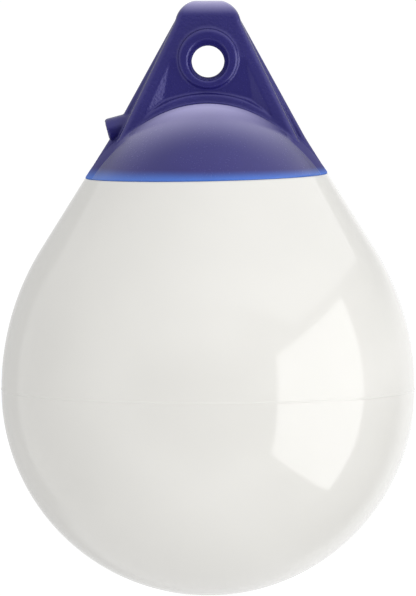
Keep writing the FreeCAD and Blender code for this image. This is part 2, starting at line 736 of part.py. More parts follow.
def make_screw():
    """The slotted valve screw, its head level with the boss face."""
    body = valve_body("valve_screw")
    under = SIZES["recess_depth"] - SIZES["seal_height"] - 2 * SIZES["seal_gap"]
    top = under - SIZES["screw_head_height"]
    tip = under + SIZES["screw_length"]
    head = SIZES["recess_radius"] - SIZES["screw_head_clearance"]
    shank = SIZES["thread_radius"] - SIZES["thread_clearance"]
    point = SIZES["screw_point"]
    under_formula = "Sizes.recess_depth - Sizes.seal_height - 2 * Sizes.seal_gap"
    top_formula = under_formula + " - Sizes.screw_head_height"
    tip_formula = under_formula + " + Sizes.screw_length"
    head_formula = "Sizes.recess_radius - Sizes.screw_head_clearance"
    shank_formula = "Sizes.thread_radius - Sizes.thread_clearance"
    section = Drawing(body, "ScrewSection", "XZ_Plane")
    section.polygon([
        (top, 0, top_formula, "0"),
        (top, head, top_formula, head_formula),
        (under, head, under_formula, head_formula),
        (under, shank, under_formula, shank_formula),
        (tip - point, shank, tip_formula + " - Sizes.screw_point", shank_formula),
        (tip, shank - point, tip_formula, shank_formula + " - Sizes.screw_point"),
        (tip, 0, tip_formula, "0"),
    ])
    turned(body, "Revolution", "ScrewShape", section, "H_Axis")

    half_width = SIZES["slot_width"] / 2
    floor = top + SIZES["slot_depth"]
    slot = Drawing(body, "SlotSection", "XZ_Plane")
    floor_formula = top_formula + " + Sizes.slot_depth"
    slot.polygon([
        (top, half_width, top_formula, "Sizes.slot_width / 2"),
        (floor, half_width, floor_formula, "Sizes.slot_width / 2"),
        (floor, -half_width, floor_formula, "-Sizes.slot_width / 2"),
        (top, -half_width, top_formula, "-Sizes.slot_width / 2"),
    ])
    feature(body, "Pocket", "Slot", slot.sketch, SideType="Symmetric", Type="ThroughAll")
    return body


def make_seal():
    """The sealing washer between the screw's head and the insert."""
    body = valve_body("valve_seal")
    outer = SIZES["recess_depth"] - SIZES["seal_gap"]
    inner = outer - SIZES["seal_height"]
    hole = SIZES["thread_radius"] + SIZES["seal_clearance"]
    outer_formula = "Sizes.recess_depth - Sizes.seal_gap"
    inner_formula = outer_formula + " - Sizes.seal_height"
    hole_formula = "Sizes.thread_radius + Sizes.seal_clearance"
    section = Drawing(body, "SealSection", "XZ_Plane")
    section.polygon([
        (inner, hole, inner_formula, hole_formula),
        (inner, SIZES["seal_radius"], inner_formula, "Sizes.seal_radius"),
        (outer, SIZES["seal_radius"], outer_formula, "Sizes.seal_radius"),
        (outer, hole, outer_formula, hole_formula),
    ])
    turned(body, "Revolution", "SealShape", section, "H_Axis")
    return body


def check_model(bodies):
    """Stop before anything is written if a feature failed or a piece isn't one sound solid."""
    for item in doc.Objects:
        if {"Invalid", "Error"} & set(item.State):
            raise RuntimeError(f"{item.Name} failed: {item.State}")
    for body in bodies:
        shape = body.Shape
        if shape.isNull() or not shape.isValid() or len(shape.Solids) != 1:
            raise RuntimeError(f"{body.Label} isn't one valid solid")


def main():
    make_sheet()
    bodies = [make_float(), make_head(), make_insert(), make_screw(), make_seal()]
    doc.recompute()
    check_model(bodies)
    os.makedirs("parts", exist_ok=True)
    for body in bodies:
        body.Shape.exportStep(f"parts/{body.Label}.step")
        box = body.Shape.BoundBox
        print(body.Label, round(body.Shape.Volume, 1), box)


main()
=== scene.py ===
"""Finishes, moulded surfaces, stage and camera for an inflatable mooring buoy."""
import json
import math

import bmesh
import bpy
from bpy.props import FloatProperty, FloatVectorProperty, IntProperty, PointerProperty
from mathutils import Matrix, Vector


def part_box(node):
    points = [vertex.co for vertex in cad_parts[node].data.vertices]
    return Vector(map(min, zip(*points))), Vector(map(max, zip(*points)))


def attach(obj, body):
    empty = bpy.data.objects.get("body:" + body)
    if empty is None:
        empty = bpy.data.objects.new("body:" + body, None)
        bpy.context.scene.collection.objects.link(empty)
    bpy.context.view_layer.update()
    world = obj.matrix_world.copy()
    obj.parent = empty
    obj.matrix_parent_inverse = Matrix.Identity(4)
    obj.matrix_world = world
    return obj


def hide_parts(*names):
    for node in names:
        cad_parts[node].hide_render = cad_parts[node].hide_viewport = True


bl_info = {
    "name": "Mooring Buoy",
    "version": (1, 0, 0),
    "blender": (4, 5, 0),
    "location": "3D View > Sidebar > Buoy",
    "description": "Builds the float, rope head and air valve of an inflatable mooring buoy",
    "category": "Object",
}

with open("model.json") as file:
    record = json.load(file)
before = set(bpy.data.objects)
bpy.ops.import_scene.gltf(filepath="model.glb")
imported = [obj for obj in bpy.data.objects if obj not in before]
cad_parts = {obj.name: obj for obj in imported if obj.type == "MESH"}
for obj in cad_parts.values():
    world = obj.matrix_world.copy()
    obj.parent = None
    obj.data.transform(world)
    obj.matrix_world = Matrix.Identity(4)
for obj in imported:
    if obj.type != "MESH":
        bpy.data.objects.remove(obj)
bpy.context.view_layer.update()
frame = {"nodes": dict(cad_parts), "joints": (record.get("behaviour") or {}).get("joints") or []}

FLOAT_LOW, FLOAT_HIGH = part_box("float_body")
HEAD_LOW, HEAD_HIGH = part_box("rope_head")
SCREW_TURN = next(joint for joint in frame["joints"] if joint["name"] == "screw_turn")
VALVE_AXIS = Vector(SCREW_TURN["axis"]).normalized()
VALVE_FACE = Vector(SCREW_TURN["pos_m"])

MM = 0.001


class FloatSettings(bpy.types.PropertyGroup):
    """Sizes and finish of the white float."""

    flank_angle: FloatProperty(
        name="Flank Angle", description="How far the cone under the head leans from upright",
        default=math.radians(32), subtype="ANGLE")
    skirt_wall: FloatProperty(
        name="Skirt Wall", description="Thickness of the head over the top of the float",
        default=3.6 * MM, subtype="DISTANCE", unit="LENGTH")
    skirt_radius: FloatProperty(
        name="Skirt Radius", description="Radius of the dome's side, seen from the front",
        default=90 * MM, subtype="DISTANCE", unit="LENGTH")
    crown_angle: FloatProperty(
        name="Crown Angle", description="How far the dome's side has turned where its crown begins",
        default=math.radians(30), subtype="ANGLE")
    line_height: FloatProperty(
        name="Parting Line Height", description="How far the mould's parting line stands out",
        default=0.24 * MM, subtype="DISTANCE", unit="LENGTH")
    line_width: FloatProperty(
        name="Parting Line Width", description="Width of the mould's parting line",
        default=0.9 * MM, subtype="DISTANCE", unit="LENGTH")
    foot_radius: FloatProperty(
        name="Foot Radius",
        description="Radius round the lowest point within which the skin comes out to its full size",
        default=30 * MM, subtype="DISTANCE", unit="LENGTH")
    step: FloatProperty(
        name="Step", description="Longest facet along the outside of the float's half section",
        default=1.2 * MM, subtype="DISTANCE", unit="LENGTH")
    colour: FloatVectorProperty(
        name="Float Colour", description="White vinyl of the float",
        default=(0.80, 0.79, 0.755), subtype="COLOR", min=0, max=1)
    roughness: FloatProperty(
        name="Float Roughness", description="Gloss of the white vinyl", default=0.07, min=0, max=1)
    peel_height: FloatProperty(
        name="Peel Height", description="Height of the white vinyl's orange peel",
        default=0.004 * MM, subtype="DISTANCE", unit="LENGTH")
    segments: IntProperty(
        name="Segments", description="Facets round the float", default=256, min=32)


class HeadSettings(bpy.types.PropertyGroup):
    """Sizes and finish of the blue rope head."""

    voxel: FloatProperty(
        name="Voxel", description="Grain of the mesh that softens the moulding's edges",
        default=0.5 * MM, subtype="DISTANCE", unit="LENGTH")
    softening: IntProperty(
        name="Softening", description="Smoothing passes over the moulding", default=2, min=0)
    triangles: IntProperty(
        name="Triangles", description="Most triangles that the head may have", default=190000)
    seam_lean: FloatProperty(
        name="Seam Lean", description="How far the edge of the blue runs off level",
        default=math.radians(1.2), subtype="ANGLE")
    seam_reach: FloatProperty(
        name="Seam Reach", description="How far from the seam its lean dies out",
        default=9 * MM, subtype="DISTANCE", unit="LENGTH")
    fade: FloatProperty(
        name="Seam Fade", description="Height of the brighter blue along the seam",
        default=5.4 * MM, subtype="DISTANCE", unit="LENGTH")
    fade_lean: FloatProperty(
        name="Seam Fade Lean", description="Height that the fade gains for each metre to the left",
        default=0.02, min=0)
    fade_foot: FloatProperty(
        name="Seam Fade Foot",
        description="Height over the seam at which the brighter blue starts to fade",
        default=0.4 * MM, subtype="DISTANCE", unit="LENGTH")
    fade_drift: FloatProperty(
        name="Seam Fade Drift", description="How far the brighter blue's height wanders",
        default=1.2 * MM, subtype="DISTANCE", unit="LENGTH")
    pebble_size: FloatProperty(
        name="Pebble Size", description="Size of the pebbles on the web and its pockets",
        default=1.2 * MM, subtype="DISTANCE", unit="LENGTH")
    pebble_height: FloatProperty(
        name="Pebble Height", description="Height of the pebbles on the web and its pockets",
        default=0.12 * MM, subtype="DISTANCE", unit="LENGTH")
    colour: FloatVectorProperty(
        name="Head Colour", description="Navy vinyl of the rope head",
        default=(0.021, 0.018, 0.138), subtype="COLOR", min=0, max=1)
    seam_colour: FloatVectorProperty(
        name="Seam Colour", description="Thin blue edge where the head meets the white float",
        default=(0.055, 0.170, 0.600), subtype="COLOR", min=0, max=1)
    roughness: FloatProperty(
        name="Head Roughness", description="Gloss of the navy vinyl", default=0.20, min=0, max=1)
    # Painted highlight: the settings below lay a pale patch into the navy's base colour, on the dome
    # beside the web and along the head's top edge, where overhead light would be reflected.
    painted_highlight_colour: FloatVectorProperty(
        name="Painted_Highlight Colour", description="Pale bloom on the dome beside the web",
        default=(0.61, 0.58, 0.91), subtype="COLOR", min=0, max=1)
    painted_highlight_near: FloatProperty(
        name="Painted_Highlight Near", description="Distance from the middle plane at which the bloom is full",
        default=20 * MM, subtype="DISTANCE", unit="LENGTH")
    painted_highlight_far: FloatProperty(
        name="Painted_Highlight Far", description="Distance from the middle plane at which the bloom has gone",
        default=48 * MM, subtype="DISTANCE", unit="LENGTH")
    painted_highlight_gap: FloatProperty(
        name="Painted_Highlight Shelter",
        description="Distance from the middle plane within which no bloom forms on the dome",
        default=15 * MM, subtype="DISTANCE", unit="LENGTH")
    painted_highlight_reach: FloatProperty(
        name="Painted_Highlight Reach", description="How far to each side of its middle the dome's bloom runs",
        default=45 * MM, subtype="DISTANCE", unit="LENGTH")
    painted_highlight_shift: FloatProperty(
        name="Painted_Highlight Shift", description="How far the middle of the dome's bloom lies left of the eye",
        default=3 * MM, subtype="DISTANCE", unit="LENGTH")
    painted_highlight_taper: FloatProperty(
        name="Painted_Highlight Taper", description="How steeply the dome's bloom thins to each side",
        default=1.8, min=0)
    crest_painted_highlight: FloatProperty(
        name="Crest Painted_Highlight", description="Strength of the bloom on the head's top edge",
        default=0.7, min=0, max=1)
    crest_drop: FloatProperty(
        name="Crest Drop", description="How far the bloom runs down from the head's top edge",
        default=6.2 * MM, subtype="DISTANCE", unit="LENGTH")
    crest_taper: FloatProperty(
        name="Crest Taper", description="How steeply the crest's bloom thins on its way down",
        default=1.5, min=0)
    sheen: FloatVectorProperty(
        name="Sheen Colour", description="Tint of the light that the navy vinyl mirrors",
        default=(0.64, 0.62, 1.0), subtype="COLOR", min=0, max=1)
    strip_start: FloatProperty(
        name="Strip Start", description="How far to each side of the eye the dull strip begins",
        default=38 * MM, subtype="DISTANCE", unit="LENGTH")
    strip_full: FloatProperty(
        name="Strip Full", description="How far to each side of the eye the strip is at its dullest",
        default=42 * MM, subtype="DISTANCE", unit="LENGTH")
    strip_half: FloatProperty(
        name="Strip Half Width", description="Half width of the dull strip down each side of the dome",
        default=20 * MM, subtype="DISTANCE", unit="LENGTH")
    strip_edge: FloatProperty(
        name="Strip Edge", description="How far to each side of the strip's edge its dullness fades",
        default=0.8 * MM, subtype="DISTANCE", unit="LENGTH")
    dullness: FloatProperty(
        name="Dullness", description="How much rougher the dull strips and the eye's wall are",
        default=0.6, min=0, max=1)
    collar_radius: FloatProperty(
        name="Collar Radius", description="Radius of the collar's edge, which blends into the web",
        default=14.7 * MM, subtype="DISTANCE", unit="LENGTH")
    collar_rise: FloatProperty(
        name="Collar Rise", description="How far the collar's centre lies above the eye's",
        default=1.7 * MM, subtype="DISTANCE", unit="LENGTH")
    collar_reach: FloatProperty(
        name="Collar Reach", description="How far to each side of its edge the collar is softened",
        default=3.4 * MM, subtype="DISTANCE", unit="LENGTH")
    collar_softening: IntProperty(
        name="Collar Softening", description="Smoothing passes over the collar's edge",
        default=9, min=0)
    bore_radius: FloatProperty(
        name="Bore Radius", description="Distance from the eye's axis within which its wall is dull",
        default=8.4 * MM, subtype="DISTANCE", unit="LENGTH")
    bore_edge: FloatProperty(
        name="Bore Edge", description="How far beyond the bore radius the dullness fades",
        default=0.6 * MM, subtype="DISTANCE", unit="LENGTH")


class ValveSettings(bpy.types.PropertyGroup):
    """Sizes and finish of the air valve."""

    pitch: FloatProperty(
        name="Pitch", description="How far the screw travels in one turn",
        default=1.25 * MM, subtype="DISTANCE", unit="LENGTH")
    thread_depth: FloatProperty(
        name="Thread Depth", description="Depth of the screw's thread",
        default=0.4 * MM, subtype="DISTANCE", unit="LENGTH")
    thread_start: FloatProperty(
        name="Thread Start", description="How far below the boss's face the screw's thread begins",
        default=3.2 * MM, subtype="DISTANCE", unit="LENGTH")
    thread_end: FloatProperty(
        name="Thread End", description="How far below the boss's face the screw's thread ends",
        default=9.4 * MM, subtype="DISTANCE", unit="LENGTH")
    thread_core: FloatProperty(
        name="Thread Core", description="Radius of the screw below its thread",
        default=1.75 * MM, subtype="DISTANCE", unit="LENGTH")
    grain: FloatProperty(
        name="Grain", description="Grain of the mesh that the screw's thread is pressed into",
        default=0.08 * MM, subtype="DISTANCE", unit="LENGTH")
    softening: IntProperty(
        name="Softening", description="Smoothing passes over the screw", default=2, min=0)
    screw_colour: FloatVectorProperty(
        name="Screw Colour", description="White nylon of the valve screw",
        default=(0.62, 0.61, 0.57), subtype="COLOR", min=0, max=1)
    insert_colour: FloatVectorProperty(
        name="Insert Colour", description="Natural nylon of the threaded insert",
        default=(0.55, 0.53, 0.46), subtype="COLOR", min=0, max=1)
    seal_colour: FloatVectorProperty(
        name="Seal Colour", description="Black rubber of the washer",
        default=(0.012, 0.012, 0.013), subtype="COLOR", min=0, max=1)


class StageSettings(bpy.types.PropertyGroup):
    """Camera, lights and floor."""

    distance: FloatProperty(
        name="Camera Distance", description="From the camera to the middle of the buoy",
        default=4.0, subtype="DISTANCE", unit="LENGTH")
    elevation: FloatProperty(
        name="Camera Elevation", description="How far the camera looks down",
        default=math.radians(3.5), subtype="ANGLE")
    aim_height: FloatProperty(
        name="Aim Height", description="Height of the point in the middle of the picture",
        default=-115.8 * MM, subtype="DISTANCE", unit="LENGTH")
    view_height: FloatProperty(
        name="View Height", description="Height of the picture, measured at the buoy",
        default=291.8 * MM, subtype="DISTANCE", unit="LENGTH")
    floor_gap: FloatProperty(
        name="Floor Gap", description="Height of the hanging buoy over the floor",
        default=250 * MM, subtype="DISTANCE", unit="LENGTH")
    floor_shade: FloatProperty(
        name="Floor Shade", description="Shade of the pale floor", default=0.92, min=0, max=1)
    floor_glow: FloatProperty(
        name="Floor Glow", description="Brightness that the camera alone sees on the floor",
        default=0.32, min=0)
    fill: FloatProperty(
        name="Fill", description="Level of the light from all round", default=0.78, min=0)
    front_dip: FloatProperty(
        name="Front Dip",
        description="How much dimmer reflections see the surround in front of the buoy",
        default=0.88, min=0, max=1)
    flag_dip: FloatProperty(
        name="Flag Dip",
        description="How much dimmer reflections see the surround behind the buoy, to the left",
        default=0.38, min=0, max=1)
    rim_lift: FloatProperty(
        name="Rim Lift",
        description="How much brighter reflections see the surround behind the buoy, to the right",
        default=0.10, min=0, max=1)
    aloft_dip: FloatProperty(
        name="Aloft Dip",
        description="How much dimmer reflections see the surround above the buoy, to the right",
        default=0.36, min=0, max=1)
    low_dip: FloatProperty(
        name="Low Dip",
        description="How much dimmer reflections see the surround below the buoy, to the right",
        default=0.6, min=0, max=1)
    roof: FloatProperty(
        name="Roof", description="Brightness of the panel overhead", default=1.5, min=0)
    roof_left: FloatProperty(
        name="Roof Left", description="Share of the roof's brightness at its left end",
        default=0.7, min=0, max=1)
    window: FloatProperty(
        name="Window", description="Brightness of the softbox at the right", default=3.0, min=0)
    key: FloatProperty(
        name="Key", description="Power of the soft lamp in front, to the right", default=27, min=0)
    key_place: FloatVectorProperty(
        name="Key Place", description="Where the soft lamp stands",
        default=(1.65, -2.5, 0.4), subtype="TRANSLATION", unit="LENGTH")
    key_aim: FloatVectorProperty(
        name="Key Aim", description="The point that the soft lamp faces",
        default=(0, 0, -0.1), subtype="TRANSLATION", unit="LENGTH")
    key_width: FloatProperty(
        name="Key Width", description="Width of the soft lamp",
        default=1.6, subtype="DISTANCE", unit="LENGTH")
    key_height: FloatProperty(
        name="Key Height", description="Height of the soft lamp",
        default=1.2, subtype="DISTANCE", unit="LENGTH")


class Signal:
    """A shader socket carrying one number, for use in Python arithmetic."""

    def __init__(self, shader, socket):
        self.shader = shader
        self.socket = socket

    def math(self, operation, *others):
        """This signal and others, joined by one Math node."""
        inputs = dict(enumerate((self, *others)))
        return self.shader.node("ShaderNodeMath", {"operation": operation}, inputs).value()

    def __add__(self, other):
        return self.math("ADD", other)

    __radd__ = __add__

    def __mul__(self, other):
        return self.math("MULTIPLY", other)

    __rmul__ = __mul__

    def __sub__(self, other):
        return self.math("SUBTRACT", other)

    def __rsub__(self, other):
        return self.math("MULTIPLY", -1) + other

    def __truediv__(self, other):
        return self.math("DIVIDE", other)


class Made:
    """A node just made, whose outputs are read by name or number."""

    def __init__(self, shader, node):
        self.shader = shader
        self.node = node

    def out(self, key=0):
        return self.node.outputs[key]

    def value(self, key=0):
        return Signal(self.shader, self.node.outputs[key])


class Shader:
    """The node tree of one material or of the world."""

    def __init__(self, owner):
        owner.use_nodes = True
        self.tree = owner.node_tree
        self.tree.nodes.clear()

    def node(self, kind, settings=None, inputs=None):
        """Add a node, set it up, then fill its sockets with values, sockets or signals."""
        node = self.tree.nodes.new(kind)
        for name, value in (settings or {}).items():
            setattr(node, name, value)
        for key, value in (inputs or {}).items():
            socket = node.inputs[key]
            if isinstance(value, Signal):
                value = value.socket
            if isinstance(value, bpy.types.NodeSocket):
                self.tree.links.new(value, socket)
            else:
                socket.default_value = value
        return Made(self, node)

    def place(self):
        """Where the shaded point is on the piece at rest, in metres."""
        return self.node("ShaderNodeTexCoord").out("Object")

    def noise(self, vector, scale, detail=2.0, roughness=0.5):
        """Soft noise from 0 to 1, with about as many lumps to the metre as the scale says."""
        made = self.node("ShaderNodeTexNoise", None, {
            "Vector": vector, "Scale": scale, "Detail": detail, "Roughness": roughness})
        return made.value("Fac")

    def blend_colours(self, mask, first, second):
        """The first colour where the mask is 0, the second where it is 1."""
        return self.node("ShaderNodeMix", {"data_type": "RGBA", "clamp_factor": True}, {
            "Factor": mask, 6: first, 7: second}).out(2)

    def mottle(self, mask, colour, dark, light):
        """A colour at its dark share where the mask is 0 and at its light share where it is 1."""
        colour = Vector(colour)
        return self.blend_colours(mask, opaque(colour * dark), opaque(colour * light))

    def ramp(self, signal, low, high):
        """A signal that runs from 0 to 1 as the given one runs from low to high."""
        return self.node("ShaderNodeMapRange", {"interpolation_type": "SMOOTHSTEP"}, {
            "Value": signal, "From Min": low, "From Max": high}).value()

    def rise(self, signal, low, high):
        """Like ramp, but straight, and low may be the larger."""
        return self.node("ShaderNodeMapRange", {"clamp": True}, {
            "Value": signal, "From Min": low, "From Max": high}).value()

    def split(self, vector):
        """The three coordinates of a vector, by name."""
        made = self.node("ShaderNodeSeparateXYZ", None, {0: vector})
        return {name: made.value(name) for name in "XYZ"}

    def bump(self, height, distance):
        """A normal for a height signal; the distance says how many metres a height of 1 is."""
        return self.node("ShaderNodeBump", None, {
            "Height": height, "Distance": distance, "Strength": 1.0}).out()


def hypotenuse(first, second):
    """The long side over two short ones, as a signal."""
    return (first * first + second * second).math("SQRT")


def arc_height(radius, run):
    """How high a circle is over its centre at a distance beside it, as a signal."""
    return (radius ** 2 - run * run).math("SQRT")


def opaque(colour):
    """A colour with full alpha, as a colour socket takes it."""
    return (*colour, 1.0)


def grey(level):
    """A grey with full alpha."""
    return opaque((level, level, level))


def new_material(name):
    material = bpy.data.materials.new(name)
    return material, Shader(material)


def finish_surface(shader, inputs):
    """Close a material with one Principled surface."""
    surface = shader.node("ShaderNodeBsdfPrincipled", None, inputs)
    shader.node("ShaderNodeOutputMaterial", None, {"Surface": surface.out()})


def white_vinyl(settings):
    """Glossy white vinyl: a faint orange peel, slow changes of tone and a few dull patches."""
    material, shader = new_material("white_vinyl")
    place = shader.place()
    cloud = shader.noise(place, 14)
    fine = shader.noise(place, 420, detail=3)
    peel = shader.noise(place, 900, detail=1)
    shade = shader.ramp(cloud, 0.3, 0.7)
    tone = shader.mottle(shade, settings.colour, dark=0.985, light=1.01)
    roughness = settings.roughness + 0.03 * fine + 0.03 * cloud
    finish_surface(shader, {
        "Base Color": tone, "Roughness": roughness, "IOR": 1.5,
        "Normal": shader.bump(peel + 2.0 * cloud, settings.peel_height)})
    return material


def dome_mask(shader, where, float_settings):
    """1 on the outside of the head's dome and 0 on all that stands on it."""
    skin, clear = 0.25 * MM, 0.9 * MM
    profile = DomeProfile(float_settings)
    across = hypotenuse(where["X"], where["Y"])
    side = arc_height(profile.radius, across - profile.centre[0]) + profile.centre[1]
    crown = arc_height(profile.crown_radius, across) + profile.crown_height
    past = shader.ramp(across, profile.joint - MM, profile.joint + MM)
    surface = crown + past * (side - crown)
    return 1 - shader.ramp(where["Z"] - surface, skin, clear)


def painted_highlight_mask(shader, where, dome, settings):
    """Mask of the painted highlight: 1 on the dome beside the web and along the head's top edge,
    fading out below both.
    """
    away = where["Y"].math("ABSOLUTE")
    near = shader.rise(away, settings.painted_highlight_far, settings.painted_highlight_near)
    highlight_gap, soft = settings.painted_highlight_gap, 0.5 * MM
    past_highlight_gap = shader.ramp(away, highlight_gap - soft, highlight_gap + soft)
    sideways = (where["X"] + settings.painted_highlight_shift).math("ABSOLUTE")
    beside = shader.rise(sideways, 0, settings.painted_highlight_reach)
    spread = near * near * (1 - beside * beside).math("POWER", settings.painted_highlight_taper)
    crest = shader.rise(where["Z"], HEAD_HIGH.z - settings.crest_drop, HEAD_HIGH.z)
    return dome * past_highlight_gap * spread + settings.crest_painted_highlight * crest.math("POWER", settings.crest_taper)


def strip_mask(shader, where, dome, settings):
    """1 on a strip down each side of the dome."""
    half, edge = settings.strip_half, settings.strip_edge
    far = shader.ramp(where["X"].math("ABSOLUTE"), settings.strip_start, settings.strip_full)
    middle = 1 - shader.ramp(where["Y"].math("ABSOLUTE"), half - edge, half + edge)
    return dome * far * middle


def navy_vinyl(settings, float_settings, seam_height):
    """Navy vinyl: a pebbled web, a painted highlight on the dome and the top edge, dull strips and a
    brighter blue along the seam.
    """
    material, shader = new_material("navy_vinyl")
    place = shader.place()
    where = shader.split(place)
    lean = math.tan(settings.seam_lean)
    above = where["Z"] - lean * where["X"] - seam_height
    cloud = shader.noise(place, 30, detail=3)
    grain = shader.noise(place, 1100, detail=3, roughness=0.6)
    fade = settings.fade + settings.fade_drift / 2 - settings.fade_lean * where["X"]
    edge = 1 - shader.ramp(above + settings.fade_drift * cloud, settings.fade_foot, fade)
    shade = shader.ramp(cloud, 0.3, 0.7)
    deep = shader.mottle(shade, settings.colour, dark=0.94, light=1.06)
    dome = dome_mask(shader, where, float_settings)
    painted_highlight = painted_highlight_mask(shader, where, dome, settings)
    strip = strip_mask(shader, where, dome, settings)
    from_axis = hypotenuse(where["X"], where["Z"])
    bore = 1 - shader.ramp(
        from_axis, settings.bore_radius, settings.bore_radius + settings.bore_edge)
    # Painted highlight: the base colour turns pale lilac where the mask is 1, standing in for
    # reflected overhead light.
    highlighted_tone = shader.blend_colours(painted_highlight, deep, opaque(settings.painted_highlight_colour))
    tone = shader.blend_colours(edge, highlighted_tone, opaque(settings.seam_colour))
    dull = settings.dullness * (strip + bore)
    roughness = settings.roughness + 0.08 * grain + 0.04 * cloud + dull
    pebble = shader.noise(place, 1 / settings.pebble_size, detail=2) * (1 - dome)
    finish_surface(shader, {
        "Base Color": tone, "Roughness": roughness, "IOR": 1.5, "Specular IOR Level": 0.68,
        "Specular Tint": opaque(settings.sheen),
        "Normal": shader.bump(pebble, settings.pebble_height)})
    return material


def moulded_nylon(name, colour):
    """Plain nylon with the fine flow marks and dull skin of a small moulding."""
    material, shader = new_material(name)
    place = shader.place()
    flow = shader.noise(place, 500, detail=4)
    grain = shader.noise(place, 4000)
    tone = shader.mottle(flow, colour, dark=0.9, light=1.06)
    finish_surface(shader, {
        "Base Color": tone, "Roughness": 0.34 + 0.12 * flow, "IOR": 1.53,
        "Normal": shader.bump(grain, 0.01 * MM)})
    return material


def black_rubber(colour):
    """Soft black rubber with a fine matt grain."""
    material, shader = new_material("black_rubber")
    place = shader.place()
    grain = shader.noise(place, 3000, detail=4)
    tone = shader.mottle(grain, colour, dark=0.8, light=1.5)
    finish_surface(shader, {
        "Base Color": tone, "Roughness": 0.62 + 0.15 * grain, "IOR": 1.5,
        "Normal": shader.bump(grain, 0.02 * MM)})
    return material


def new_piece(name, mesh, material):
    """Put a mesh in the scene as a piece of one material."""
    mesh.materials.clear()
    mesh.materials.append(material)
    piece = bpy.data.objects.new(name, mesh)
    bpy.context.scene.collection.objects.link(piece)
    return piece


def smooth_mesh(mesh):
    for polygon in mesh.polygons:
        polygon.use_smooth = True


def arc_points(centre, radius, first, last, step):
    """Points from the first to the last angle, no further apart than the step."""
    count = max(2, math.ceil(abs(last - first) * radius / step))
    angles = [first + (last - first) * number / count for number in range(count + 1)]
    return [
        (centre[0] + radius * math.cos(angle), centre[1] + radius * math.sin(angle))
        for angle in angles]


def line_points(start, end, step):
    """Points along a straight line, no further apart than the step."""
    count = max(1, math.ceil(math.dist(start, end) / step))
    return [
        tuple(first + (last - first) * number / count for first, last in zip(start, end))
        for number in range(count + 1)]


def parting_line(point, settings, equator):
    """Push a profile point in, except on the parting line, so that the line stands out."""
    across, up = point
    off_line = abs(up - equator) / (settings.line_width / 2)
    rise = math.exp(-off_line ** 2)
    fall = min(1.0, across / settings.foot_radius)
    return across - settings.line_height * (1 - rise) * fall, up


class DomeProfile:
    """The head's dome in half section: an arc up its side and a crown that closes on the axis."""

    def __init__(self, settings):
        lean = settings.flank_angle
        self.turn = math.radians(90) - settings.crown_angle
        self.radius = settings.skirt_radius
        self.centre = (
            HEAD_HIGH.x - self.radius * math.cos(lean), HEAD_LOW.z - self.radius * math.sin(lean))
        self.crown_height = self.centre[1] - self.centre[0] * math.tan(self.turn)
        self.crown_radius = self.radius + self.centre[0] / math.cos(self.turn)
        self.joint = self.centre[0] + self.radius * math.cos(self.turn)


def float_profile(settings):
    """Half section of the float's skin, from its lowest point up to the dome under the head."""
    lean = settings.flank_angle
    radius = FLOAT_HIGH.x
    equator = FLOAT_LOW.z + radius
    edge = (HEAD_HIGH.x, HEAD_LOW.z)
    along = (edge[0] - radius) * math.cos(lean) + (edge[1] - equator) * math.sin(lean)
    shoulder = along / (1 - math.cos(lean))
    low = (radius - shoulder + shoulder * math.cos(lean), equator + shoulder * math.sin(lean))
    dome = DomeProfile(settings)
    inner = dome.radius - settings.skirt_wall
    inner_crown = dome.crown_radius - settings.skirt_wall
    foot = math.asin((edge[1] - dome.centre[1]) / inner)
    foot_point = (dome.centre[0] + inner * math.cos(foot), edge[1])
    quarter = math.radians(90)
    step, fine, coarse = settings.step, settings.line_width / 6, 2 * settings.step
    bead = 4 * settings.line_width
    lower_centre, upper_centre = (0, equator), (radius - shoulder, equator)

    outside = arc_points(lower_centre, radius, -quarter, -bead / radius, step)
    outside += arc_points(lower_centre, radius, -bead / radius, 0, fine)[1:]
    outside += arc_points(upper_centre, shoulder, 0, bead / shoulder, fine)[1:]
    outside += arc_points(upper_centre, shoulder, bead / shoulder, lean, step)[1:]
    outside += line_points(low, edge, step)[1:]
    outside = [parting_line(point, settings, equator) for point in outside]
    ledge = line_points(outside[-1], foot_point, coarse)[1:]
    side = arc_points(dome.centre, inner, foot, dome.turn, coarse)[1:]
    top = arc_points((0, dome.crown_height), inner_crown, dome.turn, quarter, coarse)[1:]
    return outside + ledge + side + top


def lathe(name, profile, segments):
    """Turn a half section about Z into one closed mesh; its first and last points lie on the axis."""
    work = bmesh.new()
    rings = []
    for across, up in profile[1:-1]:
        rings.append([
            work.verts.new((
                across * math.cos(math.tau * number / segments),
                across * math.sin(math.tau * number / segments), up))
            for number in range(segments)])
    bottom = work.verts.new((0, 0, profile[0][1]))
    top = work.verts.new((0, 0, profile[-1][1]))
    for number in range(segments):
        following = (number + 1) % segments
        work.faces.new((bottom, rings[0][following], rings[0][number]))
        work.faces.new((top, rings[-1][number], rings[-1][following]))
        for lower, upper in zip(rings, rings[1:]):
            work.faces.new((lower[number], lower[following], upper[following], upper[number]))
    mesh = bpy.data.meshes.new(name)
    work.to_mesh(mesh)
    work.free()
    smooth_mesh(mesh)
    return mesh


def lean_seam(mesh, head, float_settings):
    """Slide the points near the seam along the cone, so that the edge of the blue runs off level."""
    lean = math.tan(head.seam_lean)
    flank = math.tan(float_settings.flank_angle)
    for vertex in mesh.vertices:
        off = abs(vertex.co.z - HEAD_LOW.z) / head.seam_reach
        across = math.hypot(vertex.co.x, vertex.co.y)
        if off >= 1 or across < HEAD_HIGH.x / 2:
            continue
        rise = lean * vertex.co.x * (1 - off * off) ** 2
        shrink = 1 - rise * flank / across
        vertex.co = (vertex.co.x * shrink, vertex.co.y * shrink, vertex.co.z + rise)


